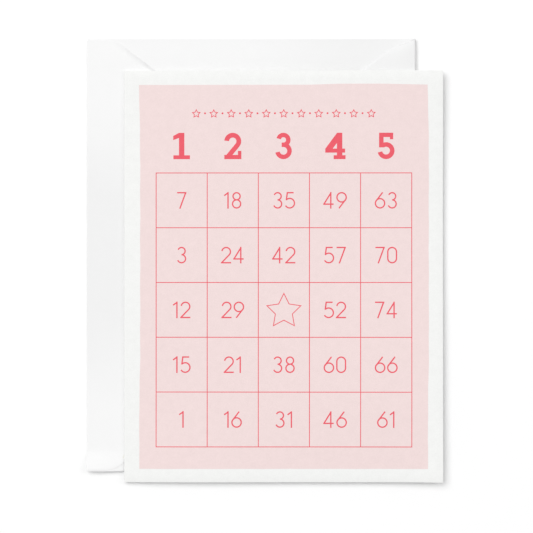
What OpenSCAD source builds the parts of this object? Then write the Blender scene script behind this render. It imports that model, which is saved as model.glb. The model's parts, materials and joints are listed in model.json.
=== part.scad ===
// Folded bingo card lying closed on its own envelope.
// The card lies face up with its fold on the left (-X) edge and opens like a
// book. Under it lies the envelope, back side up: its closing flap is hinged
// on the right (+X) edge and lies folded shut between the pocket and the card.
// +Y is the top of the printed face, +Z is up, and the origin is the middle of
// the footprint on the table.

/* [Card] */
// Width of the folded card
card_w = 107.95; // [104:0.05:108]
// Height of the folded card
card_h = 139.3; // [134:0.1:140]
// Thickness of the card stock
stock_t = 0.38; // [0.3:0.02:0.46]
// Space between the two leaves at the fold
leaf_gap = 0.15; // [0.1:0.01:0.3]
// Angle in degrees at which the cover leaf springs open at rest
gape = 0.7; // [0.2:0.05:1.5]

/* [Envelope] */
// Width of the envelope, from the left fold to the flap fold
env_w = 111.6; // [110:0.1:114]
// Height of the envelope
env_h = 146.85; // [145:0.05:150]
// Thickness of the envelope paper
paper_t = 0.14; // [0.1:0.01:0.16]
// Space inside the empty pocket
pocket_gap = 0.36; // [0.3:0.01:0.5]
// Height of the soft fold of the closing flap
flap_h = 1.4; // [1.2:0.1:2]
// Depth of the glued bottom flap, from the left fold
bottom_flap_d = 72; // [66:1:78]
// Depth of the side flaps, from the upper and lower folds
side_flap_d = 24; // [24:0.5:28]

/* [Placement] */
// How far the card reaches past the envelope on the right
over_right = 9.1; // [8:0.1:12]
// How far the card reaches past the envelope at the bottom
over_bottom = 3.55; // [3:0.05:6]

/* [Printed face] */
// White border left of the printed ground
ground_left = 5.5; // [4:0.1:7]
// White border above the printed ground
ground_top = 4.8; // [4:0.1:6]
// Width of the printed ground
ground_w = 97.65; // [96:0.05:98]
// Height of the printed ground
ground_h = 129.95; // [128:0.05:131]
// Left edge of the grid, from the card's left edge
grid_left = 10.9; // [10:0.1:12]
// Top edge of the grid, from the card's top edge
grid_top = 34.6; // [34:0.1:36]
// Width of one square
cell_w = 17.3; // [16.5:0.01:17.35]
// Height of one square
cell_h = 18.54; // [17.5:0.01:18.56]
// Width of the grid's lines
line_w = 0.26; // [0.2:0.01:0.5]
// Height of the numerals over the columns
head_h = 8.9; // [8:0.1:10]
// Height of the numbers in the squares
num_h = 5.6; // [4:0.1:7]
// Stroke of the numbers in the squares
num_w = 0.44; // [0.3:0.02:0.7]
// Outer radius of the star in the free square
star_r = 6.35; // [4:0.05:7]

/* [Hidden] */
// Numbers in the squares, row by row; 0 marks the free square
rows = [[7, 18, 35, 49, 63],
        [3, 24, 42, 57, 70],
        [12, 29, 0, 52, 74],
        [15, 21, 38, 60, 66],
        [1, 16, 31, 46, 61]];

// Heights of the layers above the table
side_z = paper_t + pocket_gap;
seam_t = 0.04;
bottom_z = side_z + paper_t + seam_t;
gum_t = 0.02;
flap_z = bottom_z + paper_t + 2 * gum_t;
card_z = bottom_z + paper_t + 0.1;
ground_t = 0.02;
ink_t = 0.02;

// Radii of the folds, measured to the outside of the paper
left_r = (bottom_z + paper_t) / 2;
side_r = (side_z + paper_t) / 2;
flap_r = flap_h / 2;
card_r = stock_t + leaf_gap / 2;

// Footprint, centred on the origin
all_w = (env_w - (card_w - over_right)) + card_w;
all_h = (env_h - (card_h - over_bottom)) + card_h;
ex0 = -all_w / 2;
ex1 = ex0 + env_w;
ey1 = all_h / 2;
ey0 = ey1 - env_h;
cx1 = all_w / 2;
cx0 = cx1 - card_w;
cy0 = -all_h / 2;
cy1 = cy0 + card_h;
env_mid = (ey0 + ey1) / 2;

// Hinge lines
fold_x = cx0 + card_r;
fold_z = card_z + card_r;
flap_x = ex1 - flap_r;

// The card rests on the flap's fold, so it rises towards its free edge; the
// closing flap slopes the other way, down to its tip
tilt = atan((flap_h + 0.05 - card_z) / (flap_x - fold_x));

ink = [0.93, 0.38, 0.43];
blush = [0.95, 0.87, 0.865];
white_card = [0.96, 0.96, 0.955];
white_paper = [0.955, 0.955, 0.955];
gum = [0.9, 0.9, 0.87];

// ---------------------------------------------------------------- helpers

function unit(v) = v / norm(v);
function left_of(v) = [-v[1], v[0]];
function along(p, i) =
    i == 0 ? unit(p[1] - p[0])
    : i == len(p) - 1 ? unit(p[i] - p[i - 1])
    : unit(unit(p[i] - p[i - 1]) + unit(p[i + 1] - p[i]));
function side(p, w) = [for (i = [0:len(p) - 1]) p[i] + left_of(along(p, i)) * w / 2];
function back_to_front(p) = [for (i = [len(p) - 1:-1:0]) p[i]];
function arc(c, r, a0, a1, step = 12) =
    let (n = max(2, ceil(abs(a1 - a0) / step)))
    [for (i = [0:n]) let (a = a0 + (a1 - a0) * i / n) c + r * [cos(a), sin(a)]];
// The angle at which a line from p touches a circle; turn is 1 or -1
function touch(p, c, r, turn) =
    atan2(p[1] - c[1], p[0] - c[0]) + turn * acos(r / norm(p - c));
// A rounded corner b between a and c, as a short smooth curve
function rounded(a, b, c, r, n = 8) =
    let (p = b + unit(a - b) * r, q = b + unit(c - b) * r)
    [for (i = [0:n]) let (t = i / n) (1 - t) * (1 - t) * p + 2 * t * (1 - t) * b + t * t * q];

// A stroke of even width along a path of points
module stroke(p, w) polygon(concat(side(p, -w), back_to_front(side(p, w))));
// A closed ring of even width
module ring(c, r, w, step = 12) difference() {
    polygon(arc(c, r + w / 2, 0, 360 - step, step));
    polygon(arc(c, r - w / 2, 0, 360 - step, step));
}
// A bar given by its lower left and upper right corners
module bar(a, b) translate(a) square(b - a);
// A ring with two straight sides, as tall as h
module oval(h, r, w) difference() {
    polygon(concat(arc([0, h / 2 - r], r + w / 2, 0, 180), arc([0, r - h / 2], r + w / 2, 180, 360)));
    polygon(concat(arc([0, h / 2 - r], r - w / 2, 0, 180), arc([0, r - h / 2], r - w / 2, 180, 360)));
}
function star_pts(R, r) = [for (i = [0:9]) (i % 2 == 0 ? R : r) * [cos(90 + 36 * i), sin(90 + 36 * i)]];

// ------------------------------------------------- plain thin-line digits
// Each digit stands on y = 0, is as tall as H, and is centred on x = 0.

module digit(n, H, w) translate([0, w / 2]) {
    h = H - w;
    k = h / 4.98;
    if (n == 0) translate([0, h / 2]) oval(h, 1.42 * k, w);
    if (n == 1) {
        stroke([[0.45 * k, -w / 2], [0.45 * k, h + w / 2]], w);
        stroke([[0.5 * k, h - 0.02 * k], [-0.8 * k, h - 0.95 * k]], w);
    }
    if (n == 2) {
        r = 1.4 * k; c = [0, h - r]; foot = [-1.5 * k, 0];
        a = touch(foot, c, r, 1);
        stroke(concat(arc(c, r, 172, a > 90 ? a - 360 : a), [foot]), w);
        stroke([[-1.72 * k, 0], [1.6 * k, 0]], w);
    }
    if (n == 3) {
        ru = 1.17 * k; rl = 1.32 * k;
        stroke(arc([-0.05 * k, h - ru], ru, 158, -90), w);
        stroke(arc([-0.05 * k, rl], rl, 90, -158), w);
    }
    if (n == 4) {
        stroke([[0.62 * k, -w / 2], [0.62 * k, h + w / 2]], w);
        stroke([[0.66 * k, h - 0.04 * k], [-1.62 * k, 1.24 * k]], w);
        stroke([[-1.85 * k, 1.24 * k], [1.55 * k, 1.24 * k]], w);
    }
    if (n == 5) {
        r = 1.56 * k; c = [-0.1 * k, r];
        top = [-0.85 * k, h]; low = c + r * [cos(135), sin(135)];
        stroke([top + [0, w / 2], low + [0.0, -0.12 * k]], w);
        stroke([[-1.05 * k, h], [1.2 * k, h]], w);
        stroke(arc(c, r, 138, -150), w);
    }
    if (n == 6 || n == 9) translate(n == 9 ? [0, h] : [0, 0]) rotate(n == 9 ? 180 : 0) {
        r = 1.52 * k; c = [0, r]; top = [0.85 * k, h + 0.1 * k];
        a = touch(top, c, r, 1);
        ring(c, r, w);
        stroke([top, c + r * [cos(a), sin(a)] + [-0.06 * k, -0.16 * k]], w);
    }
    if (n == 7) {
        stroke([[-1.5 * k, h], [1.55 * k, h]], w);
        stroke([[1.32 * k, h + 0.05 * k], [-0.6 * k, -w / 2]], w);
    }
    if (n == 8) {
        ring([0, h - 1.16 * k], 1.16 * k, w);
        ring([0, 1.33 * k], 1.33 * k, w);
    }
}
function digit_w(n) = n == 1 ? 2.5 : n == 4 ? 4.3 : n == 7 ? 3.9 : 4.0;
module number(n, H, w) {
    k = (H - w) / 4.98;
    t = floor(n / 10); u = n % 10;
    if (t == 0) translate([0, -H / 2]) digit(u, H, w);
    else {
        a = digit_w(t) * k; b = digit_w(u) * k;
        translate([(a - a - b) / 2, -H / 2]) digit(t, H, w);
        translate([(a + b - b) / 2, -H / 2]) digit(u, H, w);
    }
}

// ------------------------------------------- bold slab numerals, 8.9 tall

module slab_numeral(n) {
    if (n == 1) {
        bar([-0.9, 0], [0.9, 8.9]);
        bar([-2.8, 0], [2.8, 1.3]);
        polygon([[-0.6, 8.9], [-0.9, 8.9], [-2.85, 7.85], [-2.85, 6.45], [-0.9, 7.2], [-0.6, 7.2]]);
    }
    if (n == 2) {
        c = [0, 6.05]; r = 2.05; foot = [-1.72, 0.7];
        a = touch(foot, c, r, 1);
        stroke(concat(arc(c, r, 176, a > 90 ? a - 360 : a, 5), [foot]), 1.6);
        bar([-2.85, 0], [2.9, 1.42]);
        bar([1.75, 0.4], [2.9, 2.8]);
    }
    if (n == 3) {
        stroke(concat(arc([-0.15, 6.5], 1.65, 166, -90, 5), [[-0.75, 4.85]]), 1.5);
        stroke(arc([-0.15, 2.8], 2.05, 90, -168, 5), 1.5);
    }
    if (n == 4) {
        bar([0.65, 0], [2.45, 8.9]);
        bar([-3.3, 2.2], [3.4, 3.55]);
        polygon([[-3.3, 3.5], [-3.3, 2.9], [-1.3, 2.9], [2.0, 7.2], [2.0, 8.9], [0.7, 8.9]]);
        bar([-0.45, 0], [3.55, 1.3]);
    }
    if (n == 5) {
        bar([-2.4, 7.45], [2.35, 8.9]);
        bar([-2.4, 3.95], [-0.9, 8.0]);
        stroke(arc([-0.05, 2.85], 2.08, 124, -168, 5), 1.54);
        bar([1.25, 6.7], [2.35, 8.0]);
    }
}

// ------------------------------------------------------- placing the print

// Turns about the card's fold, and about the flap's
module turned(a) translate([fold_x, 0, fold_z]) rotate([0, -a, 0]) translate([-fold_x, 0, -fold_z]) children();
module sloped() translate([flap_x, 0, flap_r]) rotate([0, -slope, 0]) translate([-flap_x, 0, -flap_r]) children();
// Everything that lies on the cover leaf turns with it
module tilted() turned(tilt + gape) children();
// Print: x from the card's left edge, y down from its top edge, drawn upright
module printed(z, t) tilted() translate([cx0, cy1, card_z + 2 * card_r + z]) linear_extrude(height = t) children();
function down(x, y) = [x, -y];
function cell_mid(c, r) = down(grid_left + cell_w * (c + 0.5), grid_top + cell_h * (r + 0.5));

// The ground's edges aren't quite straight. Its sides lean out to the left
// over their top fifth and again over their lower quarter, and its top edge
// swells a little over the right third.
top_lean = 0.45;
low_lean = 0.3;
swell = 0.35;
function ease(t) = let (q = min(1, max(0, t))) q * q * (3 - 2 * q);
function wander(v) = -top_lean * pow(1 - min(1, max(0, v / 28)), 2) - low_lean * ease((v - 90) / 20);
function rise(u) = swell * ease((u - 56) / 14) * (1 - ease((u - 80) / 18));
function ripple(v, k) = 0.05 * sin(v * 23 + k * 70) + 0.03 * sin(v * 61 + k * 130);
function ground_outline() = concat(
    [for (i = [0:44]) let (u = ground_w * i / 44) down(ground_left + u + wander(0), ground_top - rise(u))],
    [for (i = [1:51]) let (v = ground_h * i / 52) down(ground_left + ground_w + wander(v) + ripple(v, 1), ground_top + v)],
    [for (i = [44:-1:0]) let (u = ground_w * i / 44) down(ground_left + u + wander(ground_h), ground_top + ground_h + 0.4 * ripple(u, 3))],
    [for (i = [51:-1:1]) let (v = ground_h * i / 52) down(ground_left + wander(v) + ripple(v, 2), ground_top + v)]
);

// --------------------------------------------------------------- the card

module leaf() translate([fold_x, cy0, 0]) cube([cx1 - fold_x, card_h, stock_t]);

module card_cover_leaf() color(white_card) tilted() translate([0, 0, card_z + stock_t + leaf_gap]) leaf();

module card_back_leaf() color(white_card) turned(tilt) translate([0, 0, card_z]) leaf();

// The half-round of stock that joins the two leaves
module card_fold() color(white_card) translate([fold_x, cy1, fold_z]) rotate([90, 0, 0]) linear_extrude(height = card_h)
    half_ring(card_r, stock_t, 90 + tilt + gape, 270 + tilt);

// Part of a ring seen end on, from angle a0 to a1
module half_ring(r, t, a0, a1) intersection() {
    difference() {
        circle(r = r, $fn = 64);
        circle(r = r - t, $fn = 64);
    }
    polygon(concat([[0, 0]], arc([0, 0], 2 * r, a0, a1, 30)));
}

module printed_ground() color(blush) printed(0, ground_t) polygon(ground_outline());

module bingo_grid() color(ink) printed(ground_t, ink_t) {
    w = 5 * cell_w; h = 5 * cell_h;
    difference() {
        translate(down(grid_left - line_w / 2, grid_top + h + line_w / 2)) square([w + line_w, h + line_w]);
        for (c = [0:4], r = [0:4])
            translate(down(grid_left + c * cell_w + line_w / 2, grid_top + (r + 1) * cell_h - line_w / 2))
                square([cell_w - line_w, cell_h - line_w]);
    }
}

module column_numerals() color(ink) printed(ground_t, ink_t)
    for (c = [0:4]) translate(down(grid_left + cell_w * (c + 0.5), 29.93)) scale(head_h / 8.9) slab_numeral(c + 1);

module square_numbers() color(ink) printed(ground_t, ink_t)
    for (r = [0:4], c = [0:4]) if (rows[r][c] > 0) translate(cell_mid(c, r)) number(rows[r][c], num_h, num_w);

module free_space_star() color(ink) printed(ground_t, ink_t) translate(cell_mid(2, 2) + [0, -0.45]) difference() {
    polygon(star_pts(star_r, star_r * 0.5));
    polygon(star_pts(star_r - 0.62, (star_r - 0.62) * 0.5));
}

// A row of small outlined stars with dots between them
module heading_ornament() color(ink) printed(ground_t, ink_t) for (i = [0:10]) {
    translate(down(54.1 + (i - 5) * 5.92, 14.58)) difference() {
        polygon(star_pts(1.62, 0.81));
        polygon(star_pts(1.06, 0.53));
    }
    if (i < 10) translate(down(54.1 + (i - 4.5) * 5.92, 14.43)) polygon(arc([0, 0], 0.32, 0, 340, 20));
}

// ----------------------------------------------------------- the envelope
// Flap outlines: u from the left fold, v down from the upper fold.

module flat(z, t) translate([ex0, ey1, z]) linear_extrude(height = t) children();

module envelope_front_panel() color(white_paper)
    translate([ex0 + left_r, ey0 + side_r, 0]) cube([env_w - left_r - flap_r, env_h - 2 * side_r, paper_t]);

module envelope_fold_left() color(white_paper) translate([ex0 + left_r, ey1 - 0.6, left_r]) rotate([90, 0, 0])
    linear_extrude(height = env_h - 1.2) half_ring(left_r, paper_t, 90, 270);

module side_fold() translate([ex0 + left_r + 0.04, 0, 0]) rotate([90, 0, 90])
    linear_extrude(height = env_w - left_r - flap_r - 0.1) half_ring(side_r, paper_t, -90, 90);
module envelope_fold_upper() color(white_paper) translate([0, ey1 - side_r, side_r]) side_fold();
module envelope_fold_lower() color(white_paper) translate([0, ey0 + side_r, side_r]) mirror([0, 1, 0]) side_fold();

function side_flap_outline() =
    let (a = [left_r + 0.04, side_r], b = [8, side_flap_d], c = [env_w - 13, side_flap_d], d = [env_w - flap_r - 0.06, side_r])
    concat([a], rounded(a, b, c, 3), rounded(b, c, d, 3), [d]);
module envelope_side_flap_upper() color(white_paper) flat(side_z, paper_t)
    polygon([for (p = side_flap_outline()) down(p[0], p[1])]);
module envelope_side_flap_lower() color(white_paper) flat(side_z, paper_t)
    polygon([for (p = side_flap_outline()) down(p[0], env_h - p[1])]);

seam_start = 9.4;
seam_slope = 0.75;
function seam_v(u) = 0.6 + max(0, u - seam_start) * seam_slope;
function bottom_flap_outline() =
    let (a = [left_r, 0.6], b = [seam_start, 0.6],
         c = [bottom_flap_d, seam_v(bottom_flap_d)],
         d = [bottom_flap_d, env_h - seam_v(bottom_flap_d)],
         e = [seam_start, env_h - 0.6], f = [left_r, env_h - 0.6])
    concat([a], rounded(a, b, c, 3), rounded(b, c, d, 9), rounded(c, d, e, 9), rounded(d, e, f, 3), [f]);
module envelope_bottom_flap() color(white_paper) flat(bottom_z, paper_t)
    polygon([for (p = bottom_flap_outline()) down(p[0], p[1])]);

// Gum between the side flaps and the bottom flap, along its slanting edges
function seam_band() = [[11, seam_v(11) + 1.5], [31, seam_v(31) + 1.5], [31, seam_v(31) + 6.5], [11, seam_v(11) + 6.5]];
module seam_gum() color(gum) flat(side_z + paper_t, seam_t) {
    polygon([for (p = seam_band()) down(p[0], p[1])]);
    polygon([for (p = seam_band()) down(p[0], env_h - p[1])]);
}

// Depth of the closing flap at height y from the middle of its fold
half_h = env_h / 2;
function softened(y) = (sqrt(y * y + 100) - 10) / (sqrt(half_h * half_h + 100) - 10) * half_h;
function flap_depth(y) = (-0.195 + sqrt(0.038025 + 0.096 * max(0, half_h - 0.65 - softened(y)))) / 0.048;
flap_half = half_h - 0.25;
function flap_outline() = concat(
    [[flap_r, flap_half]],
    [for (i = [0:72]) let (y = flap_half * cos(180 * i / 72)) if (flap_depth(y) > flap_r + 0.05) [flap_depth(y), y]],
    [[flap_r, -flap_half]]);
slope = asin((flap_h - paper_t - flap_z) / (flap_depth(0) - flap_r));
module on_flap(z, t) sloped() translate([ex1, env_mid, z]) mirror([1, 0, 0]) linear_extrude(height = t) children();
module envelope_closure_flap() color(white_paper) on_flap(flap_h - paper_t, paper_t) polygon(flap_outline());

module envelope_flap_fold() color(white_paper) translate([flap_x, env_mid + flap_half, flap_r]) rotate([90, 0, 0])
    linear_extrude(height = 2 * flap_half) half_ring(flap_r, paper_t, -90, 90 + slope);

// The gummed band on the inside of the closing flap
gum_half = 56;
module flap_gum_strip() color(gum) on_flap(flap_h - paper_t - gum_t, gum_t) polygon(concat(
    [for (i = [0:40]) let (y = gum_half * (1 - i / 20)) [flap_depth(y) - 2.5, y]],
    [for (i = [40:-1:0]) let (y = gum_half * (1 - i / 20)) [flap_depth(y) - 12, y]]));

card_cover_leaf();
card_back_leaf();
card_fold();
printed_ground();
bingo_grid();
column_numerals();
square_numbers();
free_space_star();
heading_ornament();
envelope_front_panel();
envelope_fold_left();
envelope_fold_upper();
envelope_fold_lower();
envelope_bottom_flap();
envelope_side_flap_upper();
envelope_side_flap_lower();
seam_gum();
envelope_closure_flap();
envelope_flap_fold();
flap_gum_strip();
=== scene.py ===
import json
import math

import bmesh
import bpy
from mathutils import Matrix, Vector


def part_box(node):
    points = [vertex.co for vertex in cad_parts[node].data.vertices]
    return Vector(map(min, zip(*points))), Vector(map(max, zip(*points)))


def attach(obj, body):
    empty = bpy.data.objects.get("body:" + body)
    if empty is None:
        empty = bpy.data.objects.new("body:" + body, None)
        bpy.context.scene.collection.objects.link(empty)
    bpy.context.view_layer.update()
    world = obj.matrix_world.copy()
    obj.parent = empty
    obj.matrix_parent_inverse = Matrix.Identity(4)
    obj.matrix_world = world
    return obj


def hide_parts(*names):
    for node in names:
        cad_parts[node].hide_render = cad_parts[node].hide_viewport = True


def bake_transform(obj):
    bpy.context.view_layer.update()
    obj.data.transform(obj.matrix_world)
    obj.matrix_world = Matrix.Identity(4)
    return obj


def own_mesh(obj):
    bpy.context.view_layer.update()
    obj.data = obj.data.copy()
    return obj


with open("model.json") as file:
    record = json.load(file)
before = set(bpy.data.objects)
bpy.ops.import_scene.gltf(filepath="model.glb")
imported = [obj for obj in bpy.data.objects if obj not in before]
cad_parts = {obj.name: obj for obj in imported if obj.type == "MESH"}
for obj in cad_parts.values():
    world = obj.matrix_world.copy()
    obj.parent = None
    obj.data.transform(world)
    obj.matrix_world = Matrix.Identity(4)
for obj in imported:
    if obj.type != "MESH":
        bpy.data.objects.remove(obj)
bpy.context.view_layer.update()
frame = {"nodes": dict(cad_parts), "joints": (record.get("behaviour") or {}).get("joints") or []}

MM = 0.001
J = {j["name"]: j for j in frame["joints"]}
NODES = frame["nodes"]
scene = bpy.context.scene

# Hinge lines and the card's plane, in millimetres
FX, FY, FZ = [v / MM for v in J["cover_fold"]["pos_m"]]
HX, HY, HZ = [v / MM for v in J["flap_fold"]["pos_m"]]


def box_mm(node):
    lo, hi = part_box(node)
    return [v / MM for v in lo], [v / MM for v in hi]


fold_lo, fold_hi = box_mm("card_fold")
back_lo, back_hi = box_mm("card_back_leaf")
front_lo, front_hi = box_mm("envelope_front_panel")
left_lo, left_hi = box_mm("envelope_fold_left")
cover_lo, cover_hi = box_mm("card_cover_leaf")
STOCK = 0.38
PAPER = front_hi[2] - front_lo[2]
CX0, CX1, CY0, CY1 = fold_lo[0], back_hi[0], back_lo[1], back_hi[1]
EX0 = left_lo[0]
EY1 = box_mm("envelope_fold_upper")[1][1]
EY0 = box_mm("envelope_fold_lower")[0][1]
EX1 = box_mm("envelope_flap_fold")[1][0]
EMID = (EY0 + EY1) / 2
OUTER = FZ - fold_lo[2]
INNER = OUTER - STOCK
LEAF_W = CX1 - FX
# Angles of the two leaves above the table: each leaf rises from the fold
TILT = math.asin((back_hi[2] - back_lo[2] - STOCK) / LEAF_W)
LIFT = math.asin((cover_hi[2] - FZ - OUTER) / LEAF_W)


def smooth(t):
    t = min(1.0, max(0.0, t))
    return t * t * (3 - 2 * t)


def through(x, pts):
    """A smooth line through a few points."""
    if x <= pts[0][0]:
        return pts[0][1]
    if x >= pts[-1][0]:
        return pts[-1][1]
    n = len(pts)
    m = []
    for i in range(n):
        if i in (0, n - 1):
            m.append(0.0)
            continue
        d0 = (pts[i][1] - pts[i - 1][1]) / (pts[i][0] - pts[i - 1][0])
        d1 = (pts[i + 1][1] - pts[i][1]) / (pts[i + 1][0] - pts[i][0])
        m.append(0.0 if d0 * d1 <= 0 else 2 * d0 * d1 / (d0 + d1))
    m[0] = (pts[1][1] - pts[0][1]) / (pts[1][0] - pts[0][0])
    m[-1] = (pts[-1][1] - pts[-2][1]) / (pts[-1][0] - pts[-2][0])
    for i in range(n - 1):
        if x <= pts[i + 1][0]:
            h = pts[i + 1][0] - pts[i][0]
            t = (x - pts[i][0]) / h
            return ((2 * t ** 3 - 3 * t ** 2 + 1) * pts[i][1] + (t ** 3 - 2 * t ** 2 + t) * h * m[i]
                    + (3 * t ** 2 - 2 * t ** 3) * pts[i + 1][1] + (t ** 3 - t ** 2) * h * m[i + 1])


# ------------------------------------------------------------------ shapes
# Every sheet is very slightly curved, as paper is after it has been handled.
# All heights here are in millimetres above the table.

FOLD_TOP = [(-71.6, 1.2), (-66, 1.3), (-27, 1.24), (14, 1.14), (40, 1.34), (56, 1.85), (64, 2.1), (71, 2.2), (74.9, 2.0)]
LOW_FOLD = [(-60.3, 0.04), (-58, 0.03), (-55, 0.03), (-51, 0.04), (-47.6, 0.08), (-44, 0.12), (-36, 0.22), (50, 0.22)]
LOW_RISE = [(-60.3, 1.75), (-57, 1.68), (-53, 1.45), (-50, 1.15), (-48.2, 0.8), (-47.4, 0.42), (-44, 0.22), (-36, 0.1), (50, 0.08)]
FREE_RISE = [(-71.6, 0.08), (40, 0.1), (56, 0.34), (64, 0.5), (71, 0.58), (74.9, 0.54)]
SEAM_CURL = [(7.8, 0.0), (9.4, 0.14), (12, 0.31), (15, 0.42), (19, 0.5), (22, 0.54), (24, 0.45), (26, 0.2), (30, 0.05), (72, 0.0)]
FREE_EDGE = [(-75.2, 3.8), (-67.7, 3.76), (-58, 3.5), (-45, 3.25), (-27, 3.05), (13.6, 2.42), (40, 2.95), (54, 3.35), (64.1, 3.6)]
LOW_EDGE = [(0, 1.83), (4, 2.05), (9, 2.36), (25, 2.66), (45, 2.46), (60, 2.3), (85, 2.34), (98, 2.7), (107.5, 3.74)]


def fold_height(y):
    """Height of the soft fold of the envelope's flap, on which the card rests."""
    return through(y, FOLD_TOP)


def back_curve(s, y):
    """How far the back leaf stands off its flat plane, s from the fold."""
    rest = fold_height(min(EY1, max(EY0, y)))
    return (rest - 1.39) * (max(0.0, s) / (HX - FX)) ** 1.4


def cover_main(s, y):
    a = max(0.0, s / LEAF_W)
    flat = FZ + OUTER + s * math.sin(LIFT)
    return flat + (through(y, FREE_EDGE) - (FZ + OUTER + LEAF_W * math.sin(LIFT))) * a ** 1.25


def cover_curve(s, y):
    """How far the cover leaf stands off its flat plane, s from the fold."""
    s = max(0.0, s)
    w = smooth((-46 - y) / 29)
    top = cover_main(s, y)
    if w > 0:
        top += w * (through(s, LOW_EDGE) - cover_main(s, CY0))
    a = s / LEAF_W
    return top - (FZ + OUTER + s * math.sin(LIFT)) + 0.025 * math.sin(a * 5.1 + y * 0.03) * smooth(a * 3)


def rise(x, y):
    """How far the front panel stands off the table: it turns up a little at two edges."""
    b, r = y - EY0, EX1 - x
    return max(through(x, LOW_RISE) * (1 - smooth(b / 7.5)), through(y, FREE_RISE) * (1 - smooth(r / 5.0)))


def pocket(x, y):
    """How far the folded envelope's layers stand apart: tight at its creases."""
    l, t, b = x - EX0, EY1 - y, y - EY0
    e = 0.36
    e *= 0.12 + 0.88 * smooth(l / 9.0)
    e *= 0.12 + 0.88 * smooth(t / 8.0)
    e *= 0.12 + 0.88 * smooth(b / 8.0)
    # the lower fold is not pressed flat: it stands up, most of all left of the card
    e += through(x, LOW_FOLD) * (1 - smooth((b - 0.6) / 9.0)) * smooth(0.25 + l / 1.2)
    return e


def to_leaf(p, angle):
    """World to (distance from the fold, y, height over the hinge plane), in mm."""
    x, z = p.x / MM - FX, p.z / MM - FZ
    c, s = math.cos(angle), math.sin(angle)
    return x * c + z * s, p.y / MM, -x * s + z * c


def from_leaf(s, y, n, angle):
    c, q = math.cos(angle), math.sin(angle)
    return Vector(((FX + s * c - n * q) * MM, y * MM, (FZ + s * q + n * c) * MM))


# ----------------------------------------------------------------- helpers

def cut(bm, axis, values):
    normal = Vector((1, 0, 0)) if axis == 0 else Vector((0, 1, 0))
    for v in values:
        co = Vector((v * MM, 0, 0)) if axis == 0 else Vector((0, v * MM, 0))
        geom = bm.verts[:] + bm.edges[:] + bm.faces[:]
        bmesh.ops.bisect_plane(bm, geom=geom, dist=1e-8, plane_co=co, plane_no=normal)


def spread(lo, hi, step):
    n = max(1, int(round((hi - lo) / step)))
    return [lo + (hi - lo) * i / n for i in range(1, n)]


def finish_mesh(name, bm, mat, body, node=None, angle=35, ride=True):
    bmesh.ops.remove_doubles(bm, verts=bm.verts, dist=2e-8)
    bmesh.ops.recalc_face_normals(bm, faces=bm.faces)
    me = bpy.data.meshes.new(name)
    bm.to_mesh(me)
    bm.free()
    for p in me.polygons:
        p.use_smooth = True
    me.set_sharp_from_angle(angle=math.radians(angle))
    me.materials.append(mat)
    o = bpy.data.objects.new(name, me)
    scene.collection.objects.link(o)
    if ride:
        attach(o, body)
    if node:
        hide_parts(*([node] if isinstance(node, str) else node))
    return o


def copy_bm(node, weld=True):
    bm = bmesh.new()
    bm.from_mesh(NODES[node].data)
    if weld:
        bmesh.ops.remove_doubles(bm, verts=bm.verts, dist=1e-7)
    bmesh.ops.dissolve_limit(bm, angle_limit=math.radians(0.5), verts=bm.verts, edges=bm.edges)
    return bm


def bevel_outer(bm, width, skip_x=None):
    """Softens the long cut edges of a plate, but not those at the fold side."""
    edges = []
    for e in bm.edges:
        if len(e.link_faces) != 2 or e.calc_face_angle(0) < 1.0:
            continue
        if skip_x is not None and all(abs(v.co.x / MM - skip_x) < 0.2 for v in e.verts):
            continue
        edges.append(e)
    bmesh.ops.bevel(bm, geom=edges, offset=width * MM, segments=2, profile=0.6, affect="EDGES", clamp_overlap=True)


# --------------------------------------------------------------- materials

def new_material(name):
    m = bpy.data.materials.new(name)
    m.use_nodes = True
    nt = m.node_tree
    nt.nodes.clear()
    out = nt.nodes.new("ShaderNodeOutputMaterial")
    bsdf = nt.nodes.new("ShaderNodeBsdfPrincipled")
    nt.links.new(bsdf.outputs["BSDF"], out.inputs["Surface"])
    co = nt.nodes.new("ShaderNodeTexCoord")
    return m, nt, bsdf, co.outputs["Object"]


def noise_node(nt, vec, scale, detail=3.0, rough=0.55, stretch=None, distortion=0.0):
    if stretch:
        mp = nt.nodes.new("ShaderNodeMapping")
        mp.inputs["Scale"].default_value = stretch
        nt.links.new(vec, mp.inputs["Vector"])
        vec = mp.outputs["Vector"]
    n = nt.nodes.new("ShaderNodeTexNoise")
    n.inputs["Scale"].default_value = scale
    n.inputs["Detail"].default_value = detail
    n.inputs["Roughness"].default_value = rough
    n.inputs["Distortion"].default_value = distortion
    nt.links.new(vec, n.inputs["Vector"])
    return n.outputs["Fac"]


def maths(nt, op, a, b):
    n = nt.nodes.new("ShaderNodeMath")
    n.operation = op
    for i, v in enumerate((a, b)):
        if isinstance(v, (int, float)):
            n.inputs[i].default_value = v
        else:
            nt.links.new(v, n.inputs[i])
    return n.outputs[0]


def ramp(nt, fac, stops):
    r = nt.nodes.new("ShaderNodeValToRGB")
    el = r.color_ramp.elements
    while len(el) < len(stops):
        el.new(0.5)
    for e, (p, c) in zip(el, stops):
        e.position = p
        e.color = (*c, 1)
    nt.links.new(fac, r.inputs["Fac"])
    return r.outputs["Color"]


def bump(nt, bsdf, height, strength, distance):
    b = nt.nodes.new("ShaderNodeBump")
    b.inputs["Strength"].default_value = strength
    b.inputs["Distance"].default_value = distance
    nt.links.new(height, b.inputs["Height"])
    nt.links.new(b.outputs["Normal"], bsdf.inputs["Normal"])


def shade(c, k):
    return tuple(max(0.0, min(1.0, v * k)) for v in c)


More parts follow.
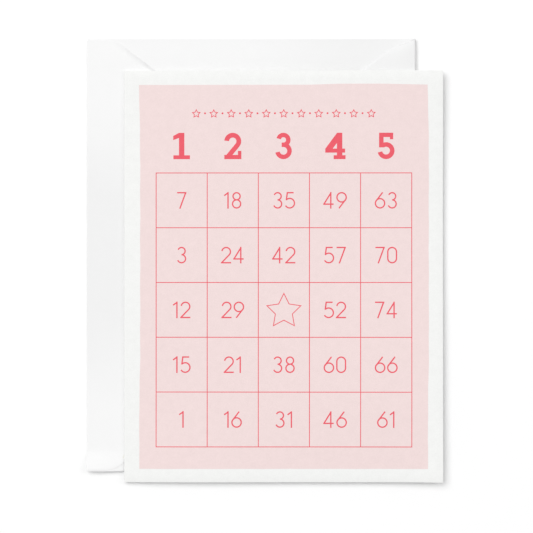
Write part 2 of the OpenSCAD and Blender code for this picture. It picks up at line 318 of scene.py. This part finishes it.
def paper_material(name, colour, spread_=0.02, tooth=1.0, rough=0.85, fleck=2200.0, cloud=420.0, mid_shade=None, right_shade=None):
    """Uncoated paper: cloudy formation, fine tooth, and a faint felt texture."""
    m, nt, bsdf, vec = new_material(name)
    fine = noise_node(nt, vec, fleck, 4.0, 0.6)
    mid = noise_node(nt, vec, cloud, 3.0, 0.5)
    mixf = maths(nt, "ADD", maths(nt, "MULTIPLY", fine, 0.62), maths(nt, "MULTIPLY", mid, 0.38))
    col = ramp(nt, mixf, [(0.30, shade(colour, 1 - spread_)), (0.5, colour), (0.70, shade(colour, 1 + spread_))])
    if mid_shade:
        # painted shade: the paper is darker in a wavy band across the middle of the envelope's height, and full bright
        # towards its two ends
        sep = nt.nodes.new("ShaderNodeSeparateXYZ")
        nt.links.new(vec, sep.inputs[0])
        off = maths(nt, "ABSOLUTE", maths(nt, "SUBTRACT", sep.outputs["Y"], EMID * MM), 0.0)
        warp = maths(nt, "MULTIPLY", maths(nt, "SUBTRACT", noise_node(nt, vec, 40.0, 2.0), 0.5), 0.02)
        t = maths(nt, "MULTIPLY", maths(nt, "SUBTRACT", maths(nt, "ADD", off, warp), mid_shade[0] * MM), 1000.0 / (mid_shade[1] - mid_shade[0]))
        shade_ramp = ramp(nt, t, [(0.0, (mid_shade[2],) * 3), (1.0, (1.0,) * 3)])
        mul = nt.nodes.new("ShaderNodeVectorMath")
        mul.operation = "MULTIPLY"
        nt.links.new(col, mul.inputs[0])
        nt.links.new(shade_ramp, mul.inputs[1])
        col = mul.outputs[0]
    if right_shade:
        # painted shade: a little greyer towards the right, the side of the closing flap
        sep = nt.nodes.new("ShaderNodeSeparateXYZ")
        nt.links.new(vec, sep.inputs[0])
        t = maths(nt, "MULTIPLY", maths(nt, "SUBTRACT", sep.outputs["X"], right_shade[0] * MM), 1000.0 / (right_shade[1] - right_shade[0]))
        mul = nt.nodes.new("ShaderNodeVectorMath")
        mul.operation = "MULTIPLY"
        nt.links.new(col, mul.inputs[0])
        nt.links.new(ramp(nt, t, [(0.0, (1.0,) * 3), (1.0, (right_shade[2],) * 3)]), mul.inputs[1])
        col = mul.outputs[0]
    nt.links.new(col, bsdf.inputs["Base Color"])
    felt = noise_node(nt, vec, fleck * 0.45, 2.0, 0.5, stretch=(1.0, 1.35, 1.0))
    h = maths(nt, "ADD", maths(nt, "MULTIPLY", fine, 0.5), felt)
    bump(nt, bsdf, h, 0.35 * tooth, 0.00006)
    bsdf.inputs["Roughness"].default_value = rough
    bsdf.inputs["Specular IOR Level"].default_value = 0.25
    bsdf.inputs["Sheen Weight"].default_value = 0.04
    return m


STOCK_C = (0.824, 0.828, 0.816)
PINK_C = (0.801, 0.658, 0.650)
CORAL_C = (0.770, 0.101, 0.134)
ENV_C = (0.832, 0.832, 0.832)

mat_stock = paper_material("card_stock", STOCK_C, 0.036, 1.0)
mat_pink = paper_material("print_blush", PINK_C, 0.038, 0.9, rough=0.8)
mat_coral = paper_material("print_coral", CORAL_C, 0.07, 0.8, rough=0.7)
mat_env = paper_material("envelope_paper", ENV_C, 0.008, 0.45, rough=0.8, fleck=1500.0, cloud=260.0)
# a slightly lighter copy of the envelope paper (painted light), with painted shade across its middle
mat_env_painted_shade = paper_material("envelope_paper_painted_shade", shade(ENV_C, 1.008), 0.008, 0.45, rough=0.8, fleck=1500.0, cloud=260.0, mid_shade=(20.0, 52.0, 0.947))
# the side flaps' paper, with painted shade towards the right
mat_side_painted_shade = paper_material("envelope_paper_side_painted_shade", ENV_C, 0.008, 0.45, rough=0.8, fleck=1500.0, cloud=260.0, right_shade=(-4.0, 30.0, 0.962))
# a darker copy of the envelope paper: painted shade on the closing flap and its fold
mat_flap_painted_shade = paper_material("envelope_paper_flap_painted_shade", shade(ENV_C, 0.946), 0.008, 0.45, rough=0.8, fleck=1500.0, cloud=260.0)
mat_gum = paper_material("gum", (0.79, 0.785, 0.74), 0.02, 0.6, rough=0.32, fleck=700.0, cloud=160.0)

# --------------------------------------------------------------- the card

grid_s = spread(FX, CX1, 3.0)
grid_y = spread(CY0, CY1, 3.0)

# Cover leaf
bm = copy_bm("card_cover_leaf")
for v in bm.verts:
    s, y, n = to_leaf(v.co, LIFT)
    v.co = Vector((s * MM, y * MM, n * MM))
bevel_outer(bm, 0.05, skip_x=0.0)
cut(bm, 0, [g - FX for g in grid_s] + [0.6, 1.4])
cut(bm, 1, grid_y)
for v in bm.verts:
    s, y, n = [c / MM for c in v.co]
    v.co = from_leaf(s, y, n + cover_curve(s, y), LIFT)
cover = finish_mesh("cover_leaf", bm, mat_stock, "card_cover", "card_cover_leaf")

# Back leaf
bm = copy_bm("card_back_leaf")
for v in bm.verts:
    s, y, n = to_leaf(v.co, TILT)
    v.co = Vector((s * MM, y * MM, n * MM))
bevel_outer(bm, 0.05, skip_x=0.0)
cut(bm, 0, [g - FX for g in grid_s])
cut(bm, 1, grid_y)
for v in bm.verts:
    s, y, n = [c / MM for c in v.co]
    v.co = from_leaf(s, y, n + back_curve(s, y), TILT)
back = finish_mesh("back_leaf", bm, mat_stock, "card_back", "card_back_leaf")

# The spine: stock bent round the hinge line
bm = bmesh.new()
steps, ys = 14, [CY0] + grid_y + [CY1]
rings = []
for k, y in enumerate(ys):
    outer, inner = [], []
    tuck = 0.1 if k == 0 else -0.1 if k == len(ys) - 1 else 0.0
    for i in range(steps + 1):
        yy = y + tuck * (1 - abs(2 * i / steps - 1))
        a = math.radians(90) + LIFT + (math.radians(180) - LIFT + TILT) * i / steps
        ro, ri = OUTER, INNER
        outer.append(bm.verts.new(((FX + ro * math.cos(a)) * MM, yy * MM, (FZ + ro * math.sin(a)) * MM)))
        inner.append(bm.verts.new(((FX + ri * math.cos(a)) * MM, yy * MM, (FZ + ri * math.sin(a)) * MM)))
    rings.append((outer, inner))
for (o0, i0), (o1, i1) in zip(rings, rings[1:]):
    for i in range(steps):
        bm.faces.new((o0[i], o0[i + 1], o1[i + 1], o1[i]))
        bm.faces.new((i0[i + 1], i0[i], i1[i], i1[i + 1]))
    bm.faces.new((o0[0], o1[0], i1[0], i0[0]))
    bm.faces.new((o0[-1], i0[-1], i1[-1], o1[-1]))
for k in (0, -1):
    o0, i0 = rings[k]
    for i in range(steps):
        bm.faces.new((o0[i], i0[i], i0[i + 1], o0[i + 1]) if k == 0 else (o0[i + 1], i0[i + 1], i0[i], o0[i]))
spine = finish_mesh("card_spine", bm, mat_stock, None, "card_fold", ride=False)
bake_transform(spine)


# Print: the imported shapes, bent to lie on the curved cover
def print_piece(node, name, mat, step=3.0):
    bm = copy_bm(node)
    for v in bm.verts:
        s, y, n = to_leaf(v.co, LIFT)
        v.co = Vector((s * MM, y * MM, n * MM))
    cut(bm, 0, [g - FX for g in grid_s])
    cut(bm, 1, grid_y)
    for v in bm.verts:
        s, y, n = [c / MM for c in v.co]
        v.co = from_leaf(s, y, n + cover_curve(s, y), LIFT)
    return finish_mesh(name, bm, mat, "card_cover", node)


print_piece("printed_ground", "blush_ground", mat_pink)
print_piece("bingo_grid", "ruled_grid", mat_coral)
print_piece("column_numerals", "slab_numerals", mat_coral)
print_piece("square_numbers", "cell_numbers", mat_coral)
print_piece("free_space_star", "outline_star", mat_coral)
print_piece("heading_ornament", "ornament_row", mat_coral)

# ----------------------------------------------------------- the envelope

LIFT_BOTTOM = box_mm("envelope_bottom_flap")[0][2] - box_mm("envelope_side_flap_upper")[0][2]
BODY_TOP = box_mm("envelope_bottom_flap")[1][2]
HALF = (EY1 - EY0) / 2


flap_lo, flap_hi = box_mm("envelope_closure_flap")
SLOPE = math.asin((flap_hi[2] - flap_lo[2] - PAPER) / (flap_hi[0] - flap_lo[0]))


def z_side(x, y):
    return rise(x, y) + PAPER + pocket(x, y)


def z_bottom(x, y):
    u = x - EX0
    inside = ((EY1 - y) - 0.6 - (u - 9.4) * 0.75) / 1.25
    curl = through(u, SEAM_CURL) * (1 - smooth(inside / 1.0)) if u > 7.8 else 0.0
    flat = z_side(x, y) + LIFT_BOTTOM
    # the curled edge of the seam is held down where the card lies on it
    s = max(0.0, x - FX)
    card = FZ - OUTER + s * math.sin(TILT) + back_curve(s, y) - PAPER - 0.02
    room = max(0.0, card + 0.85 * max(0.0, y - CY1 - 0.05, CX0 - 0.05 - x) - flat)
    return flat + max(0.0, (curl + room - math.sqrt((curl - room) ** 2 + 0.015)) / 2)


def flap_depth(y):
    """Depth of the closing flap at height y from the middle of its fold."""
    q = (math.sqrt(y * y + 100) - 10) / (math.sqrt(HALF * HALF + 100) - 10) * HALF
    return (-0.195 + math.sqrt(0.038025 + 0.096 * max(0.0, HALF - 0.65 - q))) / 0.048


def z_flap(x, y):
    """Underside of the closing flap: high at its soft fold, with a rim that turns down onto the body."""
    run = flap_depth(y - EMID)
    deep = max(0.6, run - (EX1 - HX))
    lean = abs(flap_depth(y - EMID + 0.2) - flap_depth(y - EMID - 0.2)) / 0.4
    off = max(0.0, deep - (HX - x)) / math.sqrt(1 + lean * lean)
    end = smooth((abs(y - EMID) - 44) / 16)
    low = (BODY_TOP + 0.03) * (1 - end) + (z_side(x, y) + PAPER + 0.02) * end
    high = fold_height(y) - PAPER
    rim = min(0.42, 0.6 * (high - low)) * end * smooth(off / 1.0)
    return low + rim + (high - low - rim) * (1 - smooth((HX - x) / deep))


def panel(node, name, zfun, mat, body="envelope", extra_x=(), extra_y=(), step=4.0, level=False):
    lo, hi = box_mm(node)
    bm = copy_bm(node)
    if level:
        bmesh.ops.rotate(bm, verts=bm.verts, cent=Vector((HX, HY, HZ)) * MM, matrix=Matrix.Rotation(SLOPE, 3, "Y"))
        lo, hi = [[f(v.co[i] for v in bm.verts) / MM for i in range(3)] for f in (min, max)]
    cut(bm, 0, spread(lo[0], hi[0], step) + list(extra_x))
    cut(bm, 1, spread(lo[1], hi[1], step) + list(extra_y))
    for v in bm.verts:
        x, y, z = [c / MM for c in v.co]
        v.co.z = (zfun(x, y) + (z - lo[2])) * MM
    return finish_mesh(name, bm, mat, body, node)


near_left = [EX0 + d for d in (1.0, 2.0, 3.0, 5.0, 6.0, 7.0, 9.0)]
near_right = [HX - d for d in (0.5, 1.0, 1.5, 2.0, 2.5, 3.0, 3.5, 4.0)]
near_card = [CX0 + d for d in (-1.0, -0.1, 0.15, 0.35, 0.5, 1.0)]
near_ends = [EY1 - d for d in (1.0, 2.0, 3.0, 5.0, 6.0, 7.0)] + [EY0 + d for d in (1.0, 2.0, 3.0, 5.0, 6.0, 7.0)]
front = panel("envelope_front_panel", "front_panel", rise, mat_env, extra_x=near_right + near_card, extra_y=near_ends, step=5.0)
side_up = panel("envelope_side_flap_upper", "side_flap_upper", z_side, mat_side_painted_shade, extra_x=near_left + near_card, extra_y=near_ends)
side_low = panel("envelope_side_flap_lower", "side_flap_lower", z_side, mat_side_painted_shade, extra_x=near_left + near_card, extra_y=near_ends)
near_seam = [EX0 + 7.8 + d * 0.5 for d in range(37)]
near_top = [CY1 + d for d in (-2.0, -1.0, -0.4, 0.05, 0.3, 0.5, 0.8, 1.2, 1.8)]
glued = panel("envelope_bottom_flap", "bottom_flap", z_bottom, mat_env_painted_shade, extra_x=near_left + near_card + near_seam, extra_y=near_ends + near_top)
seams = panel("seam_gum", "seam_gum_lines", lambda x, y: z_side(x, y) + PAPER, mat_gum)

# The closing flap, in rows across it that grow finer towards its edge
bm = bmesh.new()
reach = (flap_hi[1] - flap_lo[1]) / 2
rows = []
ROWS, COLS = 96, 26
for i in range(ROWS + 1):
    y = EMID - reach * math.cos(math.pi * i / ROWS)
    deep = max(0.08, flap_depth(y - EMID) - (EX1 - HX))
    under, over = [], []
    for k in range(COLS + 1):
        x = HX - deep * (1 - (k / COLS) ** 2.3)
        z = z_flap(x, y)
        under.append(bm.verts.new((x * MM, y * MM, z * MM)))
        over.append(bm.verts.new((x * MM, y * MM, (z + PAPER) * MM)))
    rows.append((under, over))
for (u0, o0), (u1, o1) in zip(rows, rows[1:]):
    for k in range(COLS):
        bm.faces.new((o0[k], o0[k + 1], o1[k + 1], o1[k]))
        bm.faces.new((u0[k + 1], u0[k], u1[k], u1[k + 1]))
    bm.faces.new((o0[0], o1[0], u1[0], u0[0]))
    bm.faces.new((o0[-1], u0[-1], u1[-1], o1[-1]))
for i in (0, -1):
    u0, o0 = rows[i]
    for k in range(COLS):
        bm.faces.new((u0[k], u0[k + 1], o0[k + 1], o0[k]))
flap = finish_mesh("closure_flap", bm, mat_flap_painted_shade, "envelope_flap", "envelope_closure_flap")
strip = panel("flap_gum_strip", "gum_strip", lambda x, y: z_flap(x, y) - 0.03, mat_gum, body="envelope_flap", step=1.0, level=True)
# the flap and its gum strip each get a mesh of their own
for piece in (flap, strip):
    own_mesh(piece)


def crease(name, node, along, lo, hi, edge, zfun, inward, body, depth, mat, step=2.0, extra=()):
    """A strip of paper bent back on itself: it starts under, at the front panel, and ends over, at the flap.
    along is 0 or 1, the axis that the crease runs along; edge is where it stands furthest out, on the other axis;
    inward is 1 or -1, the way from the edge to the panel."""
    bm = bmesh.new()
    pts = sorted([lo, hi] + spread(lo, hi, step) + list(extra))
    n = 12
    rings = []
    for p in pts:
        x, y = (p, edge + inward * depth) if along == 0 else (edge + inward * depth, p)
        low, top = rise(x, y), zfun(x, y) + PAPER
        mid = (low + top) / 2
        outer, inner = [], []
        for i in range(n + 1):
            a = -math.pi / 2 + math.pi * i / n
            for ring, rr, rz in ((outer, depth, (top - low) / 2), (inner, depth - PAPER, (top - low) / 2 - PAPER)):
                q = edge + inward * (depth - rr * math.cos(a))
                z = mid + rz * math.sin(a)
                co = (p, q, z) if along == 0 else (q, p, z)
                ring.append(bm.verts.new([c * MM for c in co]))
        rings.append((outer, inner))
    for (o0, i0), (o1, i1) in zip(rings, rings[1:]):
        for i in range(n):
            bm.faces.new((o0[i], o0[i + 1], o1[i + 1], o1[i]))
            bm.faces.new((i0[i + 1], i0[i], i1[i], i1[i + 1]))
        bm.faces.new((o0[0], o1[0], i1[0], i0[0]))
        bm.faces.new((o0[-1], i0[-1], i1[-1], o1[-1]))
    for k in (0, -1):
        o0, i0 = rings[k]
        for i in range(n):
            bm.faces.new((o0[i], i0[i], i0[i + 1], o0[i + 1]))
    return finish_mesh(name, bm, mat, body, node, ride=body is not None)


ll, lh = box_mm("envelope_fold_left")
left = crease("left_crease", "envelope_fold_left", 1, ll[1], lh[1], EX0, z_bottom, 1, "envelope", lh[0] - ll[0], mat_env_painted_shade)
ul, uh = box_mm("envelope_fold_upper")
upper = crease("upper_crease", "envelope_fold_upper", 0, ul[0], uh[0], EY1, z_side, -1, "envelope", uh[1] - ul[1], mat_side_painted_shade)
wl, wh = box_mm("envelope_fold_lower")
lower = crease("lower_crease", "envelope_fold_lower", 0, wl[0], wh[0], EY0, z_side, 1, "envelope", wh[1] - wl[1], mat_side_painted_shade, extra=near_card)
fl, fh = box_mm("envelope_flap_fold")
flap_crease = crease("flap_crease", "envelope_flap_fold", 1, fl[1], fh[1], EX1, z_flap, -1, None, fh[0] - fl[0], mat_flap_painted_shade)
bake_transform(flap_crease)

# each envelope piece gets a mesh of its own
for piece in (front, side_up, side_low, glued, seams, left, upper, lower):
    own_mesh(piece)

# ------------------------------------------------------------ the stage

floor_me = bpy.data.meshes.new("floor")
floor_me.from_pydata([(-15, -15, 0), (15, -15, 0), (15, 15, 0), (-15, 15, 0)], [], [(0, 1, 2, 3)])
floor = bpy.data.objects.new("floor", floor_me)
scene.collection.objects.link(floor)
floor.location.z = -0.00002
mf, nt, bs, vec = new_material("floor_white")
f = noise_node(nt, vec, 3.0, 2.0)
nt.links.new(ramp(nt, f, [(0.0, (0.908, 0.908, 0.908)), (1.0, (0.918, 0.918, 0.918))]), bs.inputs["Base Color"])
bs.inputs["Roughness"].default_value = 0.9
bs.inputs["Specular IOR Level"].default_value = 0.1
floor_me.materials.append(mf)


def area(name, loc, target, size, power, colour=(1, 1, 1)):
    d = bpy.data.lights.new(name, "AREA")
    d.shape = "DISK"
    d.size = size
    d.energy = power
    d.color = colour
    o = bpy.data.objects.new(name, d)
    scene.collection.objects.link(o)
    o.location = loc
    o.rotation_mode = "QUATERNION"
    o.rotation_quaternion = (Vector(target) - Vector(loc)).to_track_quat("-Z", "Y")
    o.visible_camera = False
    return o


def softbox(name, elevation, azimuth, dist, half_angle, power):
    """A round softbox; azimuth counts from the top of the card towards its left."""
    e, a = math.radians(elevation), math.radians(azimuth)
    loc = (-dist * math.cos(e) * math.sin(a), dist * math.cos(e) * math.cos(a), dist * math.sin(e))
    area(name, loc, (0, 0, 0), 2 * dist * math.tan(math.radians(half_angle)), power)


softbox("key", 62, 46, 5.0, 24, 194.0)
softbox("fill", 40, -70, 4.0, 18, 24.5)

world = bpy.data.worlds.new("soft")
scene.world = world
world.use_nodes = True
world.node_tree.nodes["Background"].inputs["Color"].default_value = (1, 1, 1, 1)
world.node_tree.nodes["Background"].inputs["Strength"].default_value = 0.44

scene.view_settings.view_transform = "Standard"
scene.view_settings.look = "None"
scene.view_settings.exposure = 0.0
scene.view_settings.gamma = 1.0

# ----------------------------------------------------------- the camera

LENS, SENSOR = 120.0, 36.0
WIDTH = 180.5 * MM            # what the frame spans at the card's height
PLANE = 1.9 * MM
cam_d = bpy.data.cameras.new("camera")
cam_d.lens = LENS
cam_d.sensor_width = SENSOR
cam_d.sensor_fit = "HORIZONTAL"
cam_d.clip_start, cam_d.clip_end = 0.01, 10.0
cam = bpy.data.objects.new("camera", cam_d)
scene.collection.objects.link(cam)
dist = WIDTH * LENS / SENSOR
cam.location = (0.00066, -0.00217, PLANE + dist)
cam.rotation_euler = (0, 0, 0)
scene.camera = cam
